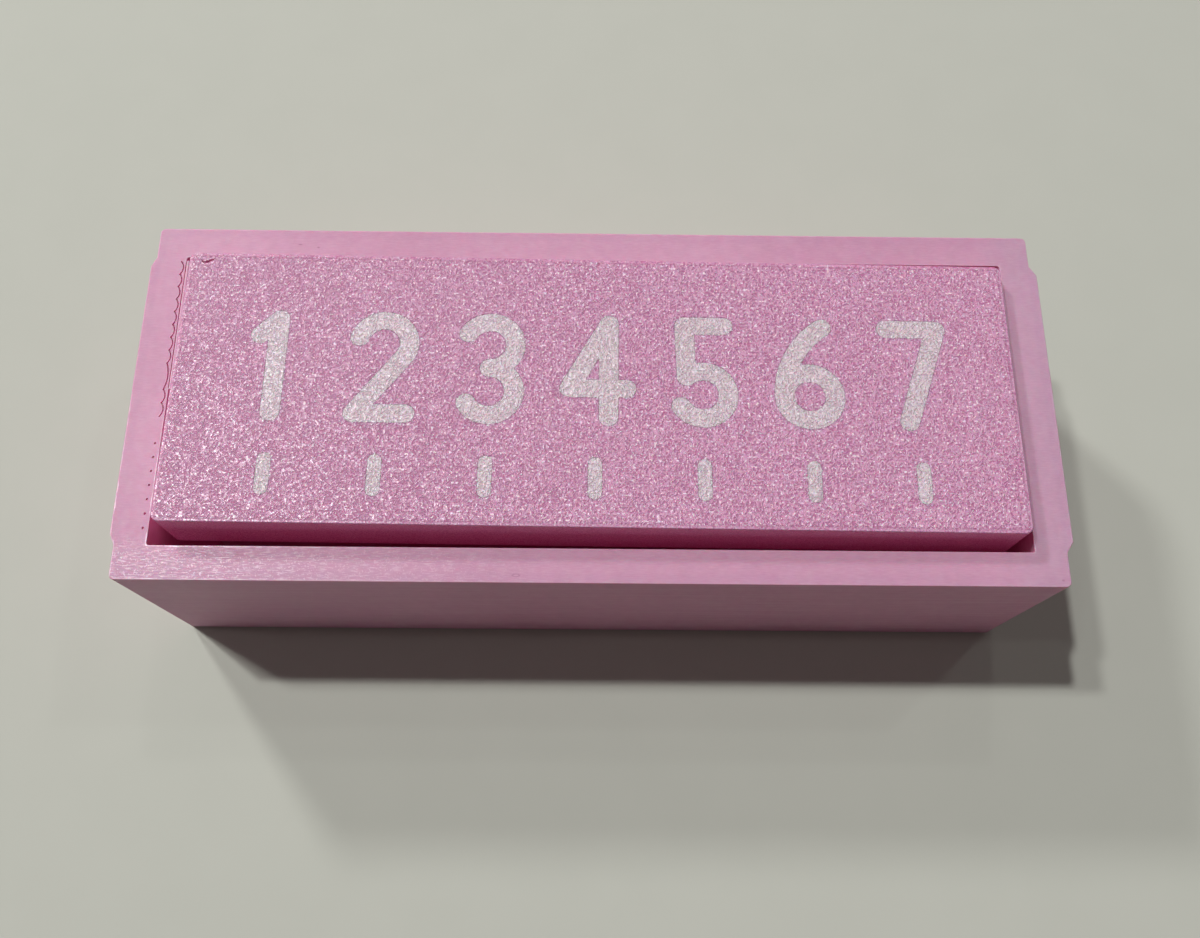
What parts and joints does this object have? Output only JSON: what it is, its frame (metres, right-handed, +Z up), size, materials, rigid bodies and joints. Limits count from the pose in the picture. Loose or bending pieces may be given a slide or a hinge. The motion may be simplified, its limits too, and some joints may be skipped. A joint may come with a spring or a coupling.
{
  "type": "butter dispenser",
  "caption": "Printed frame with a rectangular pocket for a stick of butter, a push-up floor plate and a loose press block whose face carries an inlaid tablespoon scale.",
  "frame": {"origin": "middle of the frame's base, on the surface it stands on", "axes": "+X along the frame, +Y to its back, +Z up out of the open pocket"},
  "size_m": [0.1317, 0.0538, 0.0371],
  "materials": {
    "frame_plastic": "satin printed pink plastic with fine layer lines",
    "press_plastic": "pink plastic with the coarse grain of a textured print plate",
    "floor_plastic": "satin printed pink plastic",
    "inlay_plastic": "white plastic with the grain of the press block's face"
  },
  "bodies": {
    "frame": {"frame": "frame_plastic"},
    "floor_plate": {"floor_plate": "floor_plastic"},
    "press": {"press_block": "press_plastic", "numeral_1": "inlay_plastic", "numeral_2": "inlay_plastic", "numeral_3": "inlay_plastic", "numeral_4": "inlay_plastic", "numeral_5": "inlay_plastic", "numeral_6": "inlay_plastic", "numeral_7": "inlay_plastic", "tick_1": "inlay_plastic", "tick_2": "inlay_plastic", "tick_3": "inlay_plastic", "tick_4": "inlay_plastic", "tick_5": "inlay_plastic", "tick_6": "inlay_plastic", "tick_7": "inlay_plastic"}
  },
  "joints": [
    {"name": "floor_push", "type": "slide", "parent": "frame", "child": "floor_plate", "axis": [0, 0, 1], "range_m": [0, 0.0281]},
    {"name": "press_slide", "type": "slide", "parent": "floor_plate", "child": "press", "axis": [0, 0, 1], "range_m": [-0.0212, 0.04]}
  ]
}
